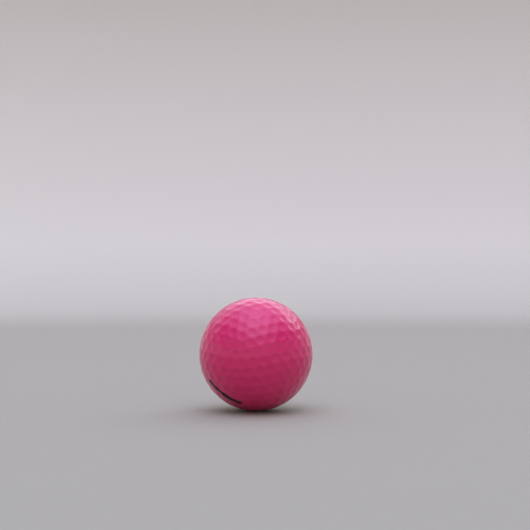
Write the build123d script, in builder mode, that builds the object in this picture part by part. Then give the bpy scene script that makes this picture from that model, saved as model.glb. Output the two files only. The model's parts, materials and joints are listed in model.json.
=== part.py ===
from build123d import *
from itertools import combinations
from math import atan, degrees, radians, sin, sqrt
import os

# A four-layer golf ball in millimetres: centre at the origin, +Z up, front towards -Y.

# ---- driving dimensions ----
ball_diameter = 42.67
cover_thickness = 1.1
mantle_thickness = 1.0
inner_core_diameter = 25.0

# The dimples sit on an icosahedral grid: from one five-neighbour dimple to the next is grid_steps
# along a row and then grid_shift along the row at 60 degrees to it.
grid_steps = 5
grid_shift = 2
# How the grid lies: spun about its own axis, tilted, then turned about +Z (degrees).
grid_spin = -16.0
grid_tilt = 24.5
grid_turn = -154.0

dimple_floor_radius = 13.0
dimple_land = 0.40
dimple_size_step = 0.05
rim_overrun = 0.07
cutter_headroom = 0.4

# A plain printed bar, on the lower front left.
bar_length = 15.0
bar_width = 2.0
bar_longitude = -138.0
bar_latitude = -40.5
bar_slope = -49.0
# How far past the bar's ends a dimple's centre can be and still reach the ink.
bar_margin = 4.3
ink_thickness = 0.06

# ---- derived sizes ----
ball_radius = ball_diameter / 2
mantle_radius = ball_radius - cover_thickness
outer_core_radius = mantle_radius - mantle_thickness
inner_core_radius = inner_core_diameter / 2

# ---- the dimple grid ----
corner_angle = degrees(atan(2))


def direction(longitude, latitude):
    """The unit vector that points to a longitude and latitude on the ball."""
    return Vector(1, 0, 0).rotate(Axis.Y, -latitude).rotate(Axis.Z, longitude)


def icosahedron_corners():
    """The 12 corners: one at each pole, and two staggered rings of five between them."""
    ring_latitude = 90 - corner_angle
    corners = [direction(0, 90), direction(0, -90)]
    for i in range(5):
        corners.append(direction(72 * i, ring_latitude))
        corners.append(direction(72 * i + 36, -ring_latitude))
    return corners


def are_neighbours(corners):
    """Whether every two of the corners are joined by an edge of the icosahedron."""
    return all(a.get_angle(b) < corner_angle + 1 for a, b in combinations(corners, 2))


def face_points(a, b, c):
    """The grid points strictly inside one face, spread evenly over the curve of the ball."""
    if (b - a).cross(c - a).dot(a) < 0:
        b, c = c, b
    cells = grid_steps**2 + grid_steps * grid_shift + grid_shift**2
    points = []
    for x in range(-grid_shift, grid_steps + 1):
        for y in range(grid_steps + grid_shift + 1):
            to_b = (grid_steps + grid_shift) * x + grid_shift * y
            to_c = grid_steps * y - grid_shift * x
            to_a = cells - to_b - to_c
            if min(to_a, to_b, to_c) > 0:
                pull = [sin(radians(corner_angle * part / cells)) for part in (to_a, to_b, to_c)]
                points.append((a * pull[0] + b * pull[1] + c * pull[2]).normalized())
    return points


def dimple_directions():
    """One unit vector for each dimple, turned to how the grid lies on this ball."""
    corners = icosahedron_corners()
    points = list(corners)
    for trio in combinations(corners, 3):
        if are_neighbours(trio):
            points += face_points(*trio)
    return [
        point.rotate(Axis.Z, grid_spin).rotate(Axis.Y, grid_tilt).rotate(Axis.Z, grid_turn)
        for point in points
    ]


def dimple_diameter(point, others):
    """As wide as the nearest neighbour allows with a land between, in steps of the tool sizes."""
    nearest = min(ball_radius * radians(point.get_angle(other)) for other in others if other is not point)
    return dimple_size_step * int((nearest - dimple_land) / dimple_size_step)


def dimples_by_size():
    """A dictionary from each dimple diameter to the directions of the dimples that have it."""
    points = dimple_directions()
    sizes = {}
    for point in points:
        sizes.setdefault(round(dimple_diameter(point, points), 2), []).append(point)
    return sizes


def seats(points):
    """Locations at the ball's centre whose +Z points out through each dimple."""
    return [Plane(origin=(0, 0, 0), z_dir=point).location for point in points]


def dimple_cutter(diameter, lift=0.0):
    """A plug along +Z whose rounded end cuts one dimple, with its floor raised by lift."""
    rim = diameter / 2
    floor_centre = sqrt(ball_radius**2 - rim**2) + sqrt(dimple_floor_radius**2 - rim**2)
    floor_radius = dimple_floor_radius - lift
    edge = rim + rim_overrun
    top = ball_radius + cutter_headroom
    with BuildPart() as cutter:
        with BuildSketch(Plane.XZ):
            with BuildLine():
                floor = RadiusArc(
                    (0, floor_centre - floor_radius),
                    (edge, floor_centre - sqrt(floor_radius**2 - edge**2)),
                    -floor_radius,
                )
                Polyline(floor @ 1, (edge, top), (0, top), floor @ 0)
            make_face()
        revolve(axis=Axis.Z)
    return cutter.part


sizes = dimples_by_size()
cutters = {diameter: dimple_cutter(diameter) for diameter in sizes}

# ---- inner core: a solid rubber ball ----
with BuildPart() as inner_core:
    Sphere(inner_core_radius)
inner_core.part.label = "inner_core"

# ---- outer core: a thick rubber shell moulded round it ----
with BuildPart() as outer_core:
    Sphere(outer_core_radius)
    Sphere(inner_core_radius, mode=Mode.SUBTRACT)
outer_core.part.label = "outer_core"

# ---- mantle: a thin stiff shell between the core and the cover ----
with BuildPart() as mantle:
    Sphere(mantle_radius)
    Sphere(outer_core_radius, mode=Mode.SUBTRACT)
mantle.part.label = "mantle"

# ---- cover: the dimpled shell ----
with BuildPart() as cover:
    Sphere(ball_radius)
    for diameter, points in sizes.items():
        with Locations(*seats(points)):
            add(cutters[diameter], mode=Mode.SUBTRACT, clean=False)
    Sphere(mantle_radius, mode=Mode.SUBTRACT)
cover.part.label = "cover"

# ---- alignment bar: a film of ink that follows the cover's dimples ----
bar_out = direction(bar_longitude, bar_latitude)
bar_east = Vector(0, 0, 1).cross(bar_out).normalized()
bar_plane = Plane(origin=(0, 0, 0), x_dir=bar_east, z_dir=bar_out)
bar_reach = degrees((bar_length / 2 + bar_margin) / ball_radius)

bar_sizes = {}
for diameter, points in sizes.items():
    close = [point for point in points if point.get_angle(bar_out) < bar_reach]
    if close:
        bar_sizes[diameter] = close
ink_cutters = {diameter: dimple_cutter(diameter, lift=ink_thickness) for diameter in bar_sizes}

# The bare ball under the bar, which the ink is cut back to.
with BuildPart() as bare_patch:
    Sphere(ball_radius)
    for diameter, points in bar_sizes.items():
        with Locations(*seats(points)):
            add(cutters[diameter], mode=Mode.SUBTRACT, clean=False)

with BuildPart() as alignment_bar:
    with BuildSketch(bar_plane.offset(ball_radius / 2)):
        SlotOverall(bar_length, bar_width, rotation=bar_slope)
    extrude(amount=ball_radius)
    Sphere(ball_radius + ink_thickness, mode=Mode.INTERSECT)
    for diameter, points in bar_sizes.items():
        with Locations(*seats(points)):
            add(ink_cutters[diameter], mode=Mode.SUBTRACT, clean=False)
    add(bare_patch.part, mode=Mode.SUBTRACT, clean=False)
alignment_bar.part.label = "alignment_bar"

os.makedirs("parts", exist_ok=True)
export_step(inner_core.part, "parts/inner_core.step")
export_step(outer_core.part, "parts/outer_core.step")
export_step(mantle.part, "parts/mantle.step")
export_step(cover.part, "parts/cover.step")
export_step(alignment_bar.part, "parts/alignment_bar.step")
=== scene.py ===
from itertools import combinations
import json
import math

import bmesh
import bpy
import numpy as np
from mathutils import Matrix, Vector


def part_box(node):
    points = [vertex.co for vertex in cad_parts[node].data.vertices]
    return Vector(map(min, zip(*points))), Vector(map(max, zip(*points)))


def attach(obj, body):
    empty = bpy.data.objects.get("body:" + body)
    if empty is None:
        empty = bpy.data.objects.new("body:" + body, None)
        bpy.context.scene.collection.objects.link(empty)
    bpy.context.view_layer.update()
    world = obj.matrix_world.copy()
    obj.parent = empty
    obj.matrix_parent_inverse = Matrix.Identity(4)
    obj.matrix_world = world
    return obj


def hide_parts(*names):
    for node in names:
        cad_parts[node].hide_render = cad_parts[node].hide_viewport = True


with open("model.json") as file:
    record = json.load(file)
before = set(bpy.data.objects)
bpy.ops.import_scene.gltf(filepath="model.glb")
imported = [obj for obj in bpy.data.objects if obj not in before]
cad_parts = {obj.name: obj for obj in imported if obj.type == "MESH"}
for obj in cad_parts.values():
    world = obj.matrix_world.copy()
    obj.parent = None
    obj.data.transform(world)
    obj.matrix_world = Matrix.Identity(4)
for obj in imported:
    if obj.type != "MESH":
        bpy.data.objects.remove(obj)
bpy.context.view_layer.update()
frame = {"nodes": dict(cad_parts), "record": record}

MM = 0.001

# ---- the ball, from the frame ----
mounts = {mount["name"]: mount for mount in frame["record"]["mounts"]}
BALL_RADIUS = abs(mounts["tee_seat"]["pos_m"][2])
COVER_INSIDE = max(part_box("mantle")[1])
FLOOR_Z = -BALL_RADIUS

# ---- the dimples: the same grid and sizes as the CAD cover ----
GRID_STEPS = 5
GRID_SHIFT = 2
GRID_SPIN = -16.0
GRID_TILT = 24.5
GRID_TURN = -154.0
DIMPLE_FLOOR_RADIUS = 13.0 * MM
LAND = 0.40 * MM
SIZE_STEP = 0.05 * MM
# The rim is rounded over this much each side, as paint rounds it.
RIM_SOFT = 0.085 * MM

# How finely each dimple's cell is meshed: segments along each side of the cell, and the rings
# inside the rim as shares of the rim's radius.
SIDE_SEGMENTS = 6
INNER_RINGS = (0.28, 0.55, 0.80)
INNER_WALL_DETAIL = 5

# How far away a dimple's neighbours can be, in steps of the grid.
NEIGHBOUR_REACH = 1.6
# A direction that no dimple faces: the corners of each cell are counted from it.
SKEW = (0.3, 0.2, 1.0)
# How far apart two cosines can be and still count as equal: loosely, and within rounding.
COSINE_SLACK = 0.01
COSINE_ROUNDING = 1e-9

# ---- the printed bar, as in the CAD ----
BAR_LENGTH = 15.0 * MM
BAR_WIDTH = 2.0 * MM
BAR_LONGITUDE = -138.0
BAR_LATITUDE = -40.5
BAR_SLOPE = -49.0
# The film stands this proud of the cover, and is tucked this far under its surface.
INK_THICKNESS = 0.02 * MM
INK_TUCK = 0.03 * MM
# Half of the film's width at its very ends, so that no face there has zero area.
BAR_TIP = 0.001 * MM
BAR_STEPS_LONG = 120
BAR_STEPS_WIDE = 16

# ---- the colours of the ball ----
PAINT = (0.64, 0.0155, 0.127, 1.0)
# The paint deep in the dimples is a little darker: a painted shade.
PAINT_DIMPLE_SHADE = (0.62, 0.0145, 0.120, 1.0)
PAINT_CLOUDED = (0.69, 0.021, 0.145, 1.0)
# How far from the ball's middle the painted shade in the dimples is at its full depth, and where the
# paint is plain.
DIMPLE_SHADE_HEIGHTS = (BALL_RADIUS - 0.22 * MM, BALL_RADIUS - 0.03 * MM)
INK = (0.012, 0.005, 0.009, 1.0)
INK_WORN = (0.028, 0.010, 0.018, 1.0)
IONOMER = (0.80, 0.79, 0.74, 1.0)
IONOMER_CLOUDED = (0.88, 0.87, 0.84, 1.0)
ORANGE_RUBBER = (0.60, 0.20, 0.03, 1.0)
ORANGE_FLECKS = (0.80, 0.36, 0.08, 1.0)
BLUE_RUBBER = (0.06, 0.20, 0.38, 1.0)
BLUE_FLECKS = (0.14, 0.34, 0.55, 1.0)

# ---- the floor, in metres: flat round the ball, then curved up like a quarter of an ellipse ----
FLAT_RADIUS = 1.2
RISE_DEPTH = 1.6
RISE_HEIGHT = 1.3
RISE_RINGS = 24
FLOOR_TURNS = 64
# The paper near the ball is darker than far away: a painted shade round the ball.
PAPER_SHADED_NEAR = (0.340, 0.369, 0.270, 1.0)
PAPER_FAR = (0.585, 0.652, 0.478, 1.0)
# How far from the ball's middle the near colour, a painted shade, ends, and where the far colour
# begins.
PAPER_SHADE_FADE = (0.7, 1.9)

# ---- the soft studio light: an even dome, and wide glows in it ----
DOME = (0.14, 0.13, 0.15)
# How many degrees above the horizon the dome begins, and where it is at its full strength.
DOME_FADE = (15.0, 55.0)
# Each glow: degrees from the front towards the right, degrees up, how tight it is (the power of a
# cosine), and its colour and strength.
GLOWS = (
    (0, 55, 5.0, (1.60, 1.16, 1.62)),
    (0, 88, 6.0, (1.65, 1.52, 2.70)),
    (180, 34, 14.0, (1.75, 1.85, 2.10)),
    (130, 32, 14.0, (2.35, 2.40, 2.75)),
    (-130, 32, 14.0, (0.86, 0.88, 1.00)),
)

# ---- the camera: millimetres for the lens, metres for the distance, degrees for the rest ----
LENS = 70.0
SENSOR = 36.0
CAMERA_DISTANCE = 0.39
CAMERA_ELEVATION = 4.0
CAMERA_TILT_UP = 0.94
CAMERA_PAN_RIGHT = 0.5
NEAREST_SEEN = 0.01


def direction(longitude, latitude):
    """The unit vector that points to a longitude and latitude on the ball, in degrees."""
    lon, lat = math.radians(longitude), math.radians(latitude)
    return np.array([math.cos(lat) * math.cos(lon), math.cos(lat) * math.sin(lon), math.sin(lat)])


def unit(vectors):
    """Vectors, each scaled to length 1."""
    vectors = np.asarray(vectors, float)
    return vectors / np.linalg.norm(vectors, axis=-1, keepdims=True)


def turned(points, axis, degrees):
    """Points turned about a world axis, by the right-hand rule."""
    a, b = {"Y": (2, 0), "Z": (0, 1)}[axis]
    c, s = math.cos(math.radians(degrees)), math.sin(math.radians(degrees))
    out = points.copy()
    out[:, a] = c * points[:, a] - s * points[:, b]
    out[:, b] = s * points[:, a] + c * points[:, b]
    return out


# ---------------------------------------------------------------- the dimple grid
CORNER_ANGLE = math.atan(2)


def icosahedron_corners():
    """The 12 corners: one at each pole, and two staggered rings of five between them."""
    ring_latitude = 90 - math.degrees(CORNER_ANGLE)
    corners = [direction(0, 90), direction(0, -90)]
    for i in range(5):
        corners.append(direction(72 * i, ring_latitude))
        corners.append(direction(72 * i + 36, -ring_latitude))
    return corners


def are_neighbours(corners):
    """Whether every two of the corners are joined by an edge of the icosahedron."""
    return min(a @ b for a, b in combinations(corners, 2)) > math.cos(CORNER_ANGLE) - COSINE_SLACK


def face_points(a, b, c):
    """The grid points strictly inside one face, spread evenly over the curve of the ball."""
    if np.cross(b - a, c - a) @ a < 0:
        b, c = c, b
    cells = GRID_STEPS**2 + GRID_STEPS * GRID_SHIFT + GRID_SHIFT**2
    points = []
    for x in range(-GRID_SHIFT, GRID_STEPS + 1):
        for y in range(GRID_STEPS + GRID_SHIFT + 1):
            to_b = (GRID_STEPS + GRID_SHIFT) * x + GRID_SHIFT * y
            to_c = GRID_STEPS * y - GRID_SHIFT * x
            to_a = cells - to_b - to_c
            if min(to_a, to_b, to_c) > 0:
                pull = [math.sin(CORNER_ANGLE * part / cells) for part in (to_a, to_b, to_c)]
                points.append(unit(pull[0] * a + pull[1] * b + pull[2] * c))
    return points


def dimple_centres():
    """One unit vector for each dimple, turned to how the grid lies on this ball."""
    corners = icosahedron_corners()
    points = list(corners)
    for trio in combinations(corners, 3):
        if are_neighbours(trio):
            points += face_points(*trio)
    points = turned(np.array(points), "Z", GRID_SPIN)
    return turned(turned(points, "Y", GRID_TILT), "Z", GRID_TURN)


def rim_radii(centres):
    """Each dimple's radius: as wide as its nearest neighbour allows, in steps of the tool sizes."""
    cosines = np.clip(centres @ centres.T, -1, 1)
    np.fill_diagonal(cosines, -1)
    nearest = BALL_RADIUS * np.arccos(cosines.max(axis=1))
    return SIZE_STEP * np.floor((nearest - LAND) / SIZE_STEP) / 2


def surface_height(rays, centres, rims):
    """How far from the ball's middle its surface is along each unit vector.

    It is the lower of two spheres, the land's and the nearest dimple's floor, and the step between
    them is blended. The floor's own middle is outside the ball, at a distance of reach.
    """
    cosines = rays @ centres.T
    own = cosines.argmax(axis=1)
    cosine = np.clip(cosines[np.arange(len(rays)), own], -1, 1)
    rim = rims[own]
    reach = np.sqrt(BALL_RADIUS**2 - rim**2) + np.sqrt(DIMPLE_FLOOR_RADIUS**2 - rim**2)
    side = np.sqrt(np.maximum(DIMPLE_FLOOR_RADIUS**2 - reach**2 * (1 - cosine**2), 0))
    floor = reach * cosine - side
    edge_slope = rim / DIMPLE_FLOOR_RADIUS + rim / BALL_RADIUS
    soft = RIM_SOFT * edge_slope
    gap = np.abs(floor - BALL_RADIUS)
    return np.minimum(floor, BALL_RADIUS) - np.maximum(soft - gap, 0) ** 2 / (4 * soft)


# ---------------------------------------------------------------- the cover's mesh
def neighbour_triangles(centres):
    """Every three dimples that meet, with the direction that is equally far from all three."""
    pitch = math.sqrt(4 * math.pi / len(centres) * 2 / math.sqrt(3))
    near = centres @ centres.T > math.cos(NEIGHBOUR_REACH * pitch)
    triangles = []
    for i in range(len(centres)):
        around = [j for j in np.flatnonzero(near[i]) if j > i]
        for j, k in combinations(around, 2):
            if not near[j, k]:
                continue
            middle = np.cross(centres[j] - centres[i], centres[k] - centres[i])
            middle = unit(middle if middle @ centres[i] > 0 else -middle)
            if (centres @ middle).max() < centres[i] @ middle + COSINE_ROUNDING:
                triangles.append(((i, j, k), middle))
    return triangles


def cell_corners(centres):
    """For each dimple, the numbered corners of the cell round it, anticlockwise from outside."""
    around = {i: [] for i in range(len(centres))}
    for number, (trio, middle) in enumerate(neighbour_triangles(centres)):
        for i in trio:
            around[i].append((number, middle))
    for i, corners in around.items():
        east = unit(np.cross(SKEW, centres[i]))
        north = np.cross(centres[i], east)
        corners.sort(key=lambda corner: math.atan2(corner[1] @ north, corner[1] @ east))
    return around


class CoverMesh:
    """The cover's outside as one cell for each dimple, on a sphere of radius 1."""

    def __init__(self):
        self.points = []
        self.faces = []
        self.corners = {}
        self.sides = {}

    def add_points(self, places):
        """Adds points and returns their numbers."""
        first = len(self.points)
        self.points.extend(places)
        return list(range(first, len(self.points)))

    def corner(self, number, place):
        """The point at a corner, the same for the three cells that share it."""
        if number not in self.corners:
            self.corners[number] = self.add_points([place])[0]
        return self.corners[number]

    def side(self, start, end):
        """The points strictly between two corners, the same for the two cells that share them."""
        low, high = sorted((start, end), key=lambda corner: corner[0])
        key = (low[0], high[0])
        if key not in self.sides:
            shares = np.arange(1, SIDE_SEGMENTS)[:, None] / SIDE_SEGMENTS
            self.sides[key] = self.add_points(unit((1 - shares) * low[1] + shares * high[1]))
        return self.sides[key] if start is low else self.sides[key][::-1]

    def add_cell(self, centre, rim_radius, corners):
        """One dimple: a fan in its middle, then rings of quads out to the edge of its cell."""
        border = []
        for start, end in zip(corners, corners[1:] + corners[:1]):
            border.append(self.corner(*start))
            border += self.side(start, end)
        outer = np.array([self.points[k] for k in border])
        across = unit(outer - (outer @ centre)[:, None] * centre)
        rim = math.asin(rim_radius / BALL_RADIUS)
        soft = RIM_SOFT / BALL_RADIUS
        angles = [rim * share for share in INNER_RINGS] + [rim - soft, rim, rim + soft]
        rings = [self.add_points(math.cos(a) * centre + math.sin(a) * across) for a in angles]
        rings.append(border)
        middle = self.add_points([centre])[0]
        for here in range(len(border)):
            there = (here + 1) % len(border)
            self.faces.append((middle, rings[0][here], rings[0][there]))
            for inner, outside in zip(rings, rings[1:]):
                self.faces.append((inner[here], outside[here], outside[there], inner[there]))


def outside_mesh(centres, rims):
    """(points, faces) of the cover's outside, with its dimples."""
    mesh = CoverMesh()
    for i, corners in cell_corners(centres).items():
        mesh.add_cell(centres[i], rims[i], corners)
    rays = np.array(mesh.points)
    return rays * surface_height(rays, centres, rims)[:, None], mesh.faces


def inner_wall_mesh():
    """(points, faces) of the smooth wall that lies on the mantle, facing inwards."""
    wall = bmesh.new()
    bmesh.ops.create_icosphere(wall, subdivisions=INNER_WALL_DETAIL, radius=COVER_INSIDE)
    points = np.array([vertex.co for vertex in wall.verts])
    faces = [tuple(vertex.index for vertex in reversed(face.verts)) for face in wall.faces]
    wall.free()
    return points, faces


# ---------------------------------------------------------------- the bar's mesh
def bar_places():
    """The film's points while it is flat, row by row: x along the bar, y across it."""
    half, cap = BAR_LENGTH / 2, BAR_WIDTH / 2
    places = []
    for i in range(BAR_STEPS_LONG + 1):
        x = -half * math.cos(math.pi * i / BAR_STEPS_LONG)
        past = max(abs(x) - (half - cap), 0)
        width = math.sqrt(max(cap**2 - past**2, 0)) + BAR_TIP
        for j in range(BAR_STEPS_WIDE + 1):
            places.append((x, width * (2 * j / BAR_STEPS_WIDE - 1)))
    return np.array(places)


def bar_rays():
    """Unit vectors from the ball's middle through the film's points, once it is on the ball."""
    out = direction(BAR_LONGITUDE, BAR_LATITUDE)
    east = unit(np.cross([0, 0, 1], out))
    north = np.cross(out, east)
    slope = math.radians(BAR_SLOPE)
    along = math.cos(slope) * east + math.sin(slope) * north
    across = math.cos(slope) * north - math.sin(slope) * east
    places = bar_places()
    foot = np.sqrt(BALL_RADIUS**2 - (places**2).sum(axis=1))
    return unit(places[:, :1] * along + places[:, 1:] * across + foot[:, None] * out)


def film_faces():
    """The faces of the film's top, its underside, whose points follow the top's, and its edge."""
    rows, columns = BAR_STEPS_LONG + 1, BAR_STEPS_WIDE + 1
    under = rows * columns
    grid = np.arange(under).reshape(rows, columns).tolist()
    faces = []
    for row, following in zip(grid, grid[1:]):
        for j in range(BAR_STEPS_WIDE):
            quad = (row[j], following[j], following[j + 1], row[j + 1])
            faces.append(quad)
            faces.append(tuple(k + under for k in reversed(quad)))
    border = [row[0] for row in grid[:-1]] + grid[-1][:-1]
    border += [row[-1] for row in grid[:0:-1]] + grid[0][:0:-1]
    for a, b in zip(border, border[1:] + border[:1]):
        faces.append((a, a + under, b + under, b))
    return faces


# ---------------------------------------------------------------- node trees
class Nodes:
    """A node tree, with short calls that add nodes and join them up."""

    def __init__(self, tree):
        self.tree = tree

    def feed(self, node, inputs):
        """Gives a node's inputs, by name or number, a plain value or the socket it comes from."""
        for key, value in inputs.items():
            if isinstance(value, bpy.types.NodeSocket):
                self.tree.links.new(value, node.inputs[key])
            else:
                node.inputs[key].default_value = value

    def add(self, kind, inputs, **settings):
        """A new node, with its inputs and settings."""
        node = self.tree.nodes.new(kind)
        for key, value in settings.items():
            setattr(node, key, value)
        self.feed(node, inputs)
        return node

    def vector_math(self, operation, inputs, output):
        """What one step of vector arithmetic gives out."""
        return self.add("ShaderNodeVectorMath", inputs, operation=operation).outputs[output]

    def mapped(self, source, span, onto=(0.0, 1.0), **settings):
        """A value carried from one span onto another, and held at its ends."""
        names = ("Value", "From Min", "From Max", "To Min", "To Max")
        inputs = dict(zip(names, (source, *span, *onto)))
        return self.add("ShaderNodeMapRange", inputs, **settings).outputs["Result"]


class Material(Nodes):
    """A new material's node tree."""

    def __init__(self, name):
        self.material = bpy.data.materials.new(name)
        self.material.use_nodes = True
        super().__init__(self.material.node_tree)
        self.place = self.add("ShaderNodeTexCoord", {}).outputs["Object"]

    def from_middle(self):
        """How far each point is from the ball's middle."""
        return self.vector_math("LENGTH", {0: self.place}, "Value")

    def noise(self, scale, detail, roughness=0.5):
        """Noise from 0 to 1 that goes through about scale waves in a metre."""
        inputs = {"Vector": self.place, "Scale": scale, "Detail": detail, "Roughness": roughness}
        return self.add("ShaderNodeTexNoise", inputs).outputs["Fac"]

    def mix(self, share, first, second):
        """A colour between two. A mix node's colours are its inputs 6 and 7 and its output 2."""
        inputs = {0: share, 6: first, 7: second}
        return self.add("ShaderNodeMix", inputs, data_type="RGBA").outputs[2]

    def bump(self, height, distance):
        """The normal of a surface that is uneven by up to a distance."""
        inputs = {"Height": height, "Distance": distance, "Strength": 1.0}
        return self.add("ShaderNodeBump", inputs).outputs["Normal"]

    def shade(self, **inputs):
        """Feeds the shader, where _ stands for a space in an input's name; the material is done."""
        shader = self.tree.nodes["Principled BSDF"]
        self.feed(shader, {key.replace("_", " "): value for key, value in inputs.items()})
        return self.material


class Sky(Nodes):
    """A new world's node tree, whose light depends only on where it comes from."""

    def __init__(self, name):
        self.world = bpy.data.worlds.new(name)
        self.world.use_nodes = True
        super().__init__(self.world.node_tree)
        self.outward = self.add("ShaderNodeTexCoord", {}).outputs["Generated"]

    def facing(self, middle):
        """The cosine of the angle from a direction: 1 at it, and 0 a quarter turn away."""
        return self.vector_math("DOT_PRODUCT", {0: self.outward, 1: middle}, "Value")

    def lit(self, strength, colour):
        """Light of one colour, scaled by a strength."""
        return self.vector_math("SCALE", {0: colour, "Scale": strength}, "Vector")

    def glow(self, middle, tightness, colour):
        """Light that fades out smoothly all round a direction."""
        ahead = self.add("ShaderNodeMath", {0: self.facing(middle), 1: 0.0}, operation="MAXIMUM")
        power = self.add("ShaderNodeMath", {0: ahead.outputs[0], 1: tightness}, operation="POWER")
        return self.lit(power.outputs[0], colour)

    def both(self, first, second):
        """Two lights together."""
        return self.vector_math("ADD", {0: first, 1: second}, "Vector")


# ---------------------------------------------------------------- materials
def cover_material():
    """Pink paint under a clear coat: a little deeper in the dimples as a painted shade, a little paler
    in clouds.
    """
    look = Material("pink_cover")
    # The paint is darker deep in the dimples: painted shade.
    dimple_shade = look.mapped(look.from_middle(), DIMPLE_SHADE_HEIGHTS, (1.0, 0.0))
    cloud = look.mapped(look.noise(90.0, 3.0), (0.35, 0.65), (0.0, 0.25))
    return look.shade(
        Base_Color=look.mix(cloud, look.mix(dimple_shade, PAINT, PAINT_DIMPLE_SHADE), PAINT_CLOUDED),
        Roughness=look.mapped(look.noise(700.0, 4.0), (0.3, 0.7), (0.40, 0.50)),
        Subsurface_Weight=0.15,
        Subsurface_Radius=(1.0, 0.2, 0.35),
        Subsurface_Scale=1.5 * MM,
        Specular_IOR_Level=0.15,
        Coat_Weight=0.75,
        Coat_Roughness=0.08,
        Normal=look.bump(look.noise(1800.0, 2.0), 0.004 * MM),
    )


def ink_material():
    """Dark printing ink, a little uneven."""
    look = Material("bar_ink")
    uneven = look.mapped(look.noise(1500.0, 3.0), (0.35, 0.7))
    return look.shade(
        Base_Color=look.mix(uneven, INK, INK_WORN),
        Roughness=look.mapped(look.noise(900.0, 2.0), (0.3, 0.7), (0.42, 0.56)),
        Specular_IOR_Level=0.3,
    )


def rubber_material(name, rubber, flecks):
    """Moulded rubber with ground filler showing as fine flecks."""
    look = Material(name)
    share = look.mapped(look.noise(1200.0, 5.0, 0.7), (0.42, 0.62))
    return look.shade(
        Base_Color=look.mix(share, rubber, flecks),
        Roughness=look.mapped(look.noise(400.0, 3.0), (0.3, 0.7), (0.55, 0.8)),
        Normal=look.bump(look.noise(1500.0, 4.0), 0.02 * MM),
    )


def mantle_material():
    """Milky moulded ionomer."""
    look = Material("mantle_ionomer")
    cloud = look.mapped(look.noise(150.0, 3.0), (0.35, 0.65))
    return look.shade(
        Base_Color=look.mix(cloud, IONOMER, IONOMER_CLOUDED),
        Roughness=look.mapped(look.noise(500.0, 2.0), (0.3, 0.7), (0.35, 0.5)),
        Subsurface_Weight=0.2,
        Subsurface_Radius=(1.0, 1.0, 0.9),
        Subsurface_Scale=1.0 * MM,
        Normal=look.bump(look.noise(900.0, 2.0), 0.006 * MM),
    )


def paper_material():
    """Matt paper, darker near the ball as a painted shade, paler far away from the ball."""
    look = Material("floor_paper")
    # The paper is darker near the ball: painted shade.
    away = look.mapped(look.from_middle(), PAPER_SHADE_FADE)
    return look.shade(
        Base_Color=look.mix(away, PAPER_SHADED_NEAR, PAPER_FAR),
        Roughness=0.9,
        Specular_IOR_Level=0.2,
    )


def repaint(node, material):
    """Gives a CAD node a new material."""
    for slot in frame["nodes"][node].material_slots:
        slot.material = material


# ---------------------------------------------------------------- pieces
def mesh_object(name, points, faces, material):
    """A smooth-shaded mesh object made of points in metres and faces."""
    mesh = bpy.data.meshes.new(name)
    mesh.from_pydata([tuple(point) for point in points], [], faces)
    mesh.polygons.foreach_set("use_smooth", [True] * len(faces))
    mesh.materials.append(material)
    mesh.update()
    piece = bpy.data.objects.new(name, mesh)
    bpy.context.scene.collection.objects.link(piece)
    return piece


def make_cover(centres, rims):
    """The dimpled shell: its outside and its inner wall."""
    points, faces = outside_mesh(centres, rims)
    wall_points, wall_faces = inner_wall_mesh()
    faces += [tuple(k + len(points) for k in face) for face in wall_faces]
    piece = mesh_object("cover_shell", np.vstack([points, wall_points]), faces, cover_material())
    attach(piece, "root")
    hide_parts("cover")


def make_bar(centres, rims):
    """The printed bar: a thin closed film with round ends that follows the dimples."""
    rays = bar_rays()
    height = surface_height(rays, centres, rims)
    top = rays * (height + INK_THICKNESS)[:, None]
    under = rays * (height - INK_TUCK)[:, None]
    piece = mesh_object("bar_print", np.vstack([top, under]), film_faces(), ink_material())
    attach(piece, "root")
    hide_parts("alignment_bar")


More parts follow.
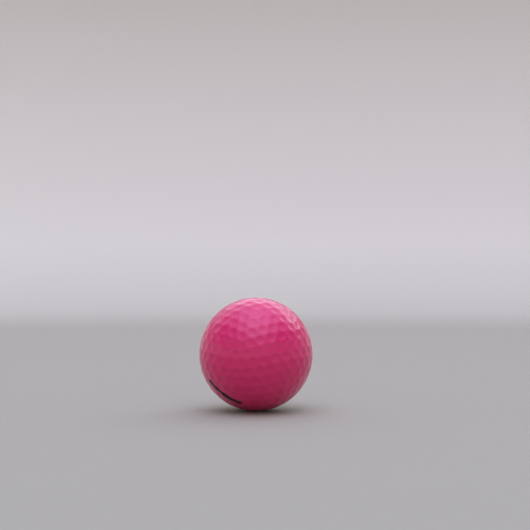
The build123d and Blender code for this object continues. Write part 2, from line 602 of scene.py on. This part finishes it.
# ---------------------------------------------------------------- the set
def make_floor():
    """A round pale floor that curves up far away, the same from every side."""
    profile = [(FLAT_RADIUS / 2, 0.0), (FLAT_RADIUS, 0.0)]
    for i in range(1, RISE_RINGS + 1):
        turn = math.pi / 2 * i / RISE_RINGS
        profile.append((FLAT_RADIUS + RISE_DEPTH * math.sin(turn), RISE_HEIGHT * (1 - math.cos(turn))))
    points = [(0.0, 0.0, FLOOR_Z)]
    for radius, height in profile:
        for k in range(FLOOR_TURNS):
            angle = 2 * math.pi * k / FLOOR_TURNS
            points.append((radius * math.cos(angle), radius * math.sin(angle), FLOOR_Z + height))
    rings = np.arange(1, len(points)).reshape(len(profile), FLOOR_TURNS).tolist()
    faces = []
    for here in range(FLOOR_TURNS):
        there = (here + 1) % FLOOR_TURNS
        faces.append((0, rings[0][here], rings[0][there]))
        for inner, outer in zip(rings, rings[1:]):
            faces.append((inner[here], outer[here], outer[there], inner[there]))
    mesh_object("floor", points, faces, paper_material())


def make_light():
    """The dome of light round the set, with its glows."""
    sky = Sky("soft_dome")
    fade = [math.sin(math.radians(height)) for height in DOME_FADE]
    rise = sky.mapped(sky.facing((0, 0, 1)), fade, interpolation_type="SMOOTHSTEP")
    light = sky.lit(rise, DOME)
    for turn, height, tightness, colour in GLOWS:
        middle = tuple(direction(turn - 90, height))
        light = sky.both(light, sky.glow(middle, tightness, colour))
    sky.feed(sky.tree.nodes["Background"], {"Color": light})
    bpy.context.scene.world = sky.world
    bpy.context.scene.view_settings.view_transform = "Standard"


def make_camera():
    """A low view from the front, a little above the ball and nearly level."""
    data = bpy.data.cameras.new("camera")
    data.lens = LENS
    data.sensor_width = SENSOR
    data.clip_start = NEAREST_SEEN
    camera = bpy.data.objects.new("camera", data)
    bpy.context.scene.collection.objects.link(camera)
    rise = math.radians(CAMERA_ELEVATION)
    camera.location = (0, -CAMERA_DISTANCE * math.cos(rise), CAMERA_DISTANCE * math.sin(rise))
    camera.rotation_euler = (math.radians(90 + CAMERA_TILT_UP), 0, math.radians(-CAMERA_PAN_RIGHT))
    bpy.context.scene.camera = camera


centres = dimple_centres()
rims = rim_radii(centres)
make_camera()
make_floor()
make_light()
make_cover(centres, rims)
make_bar(centres, rims)
repaint("mantle", mantle_material())
repaint("outer_core", rubber_material("outer_core_rubber", ORANGE_RUBBER, ORANGE_FLECKS))
repaint("inner_core", rubber_material("inner_core_rubber", BLUE_RUBBER, BLUE_FLECKS))
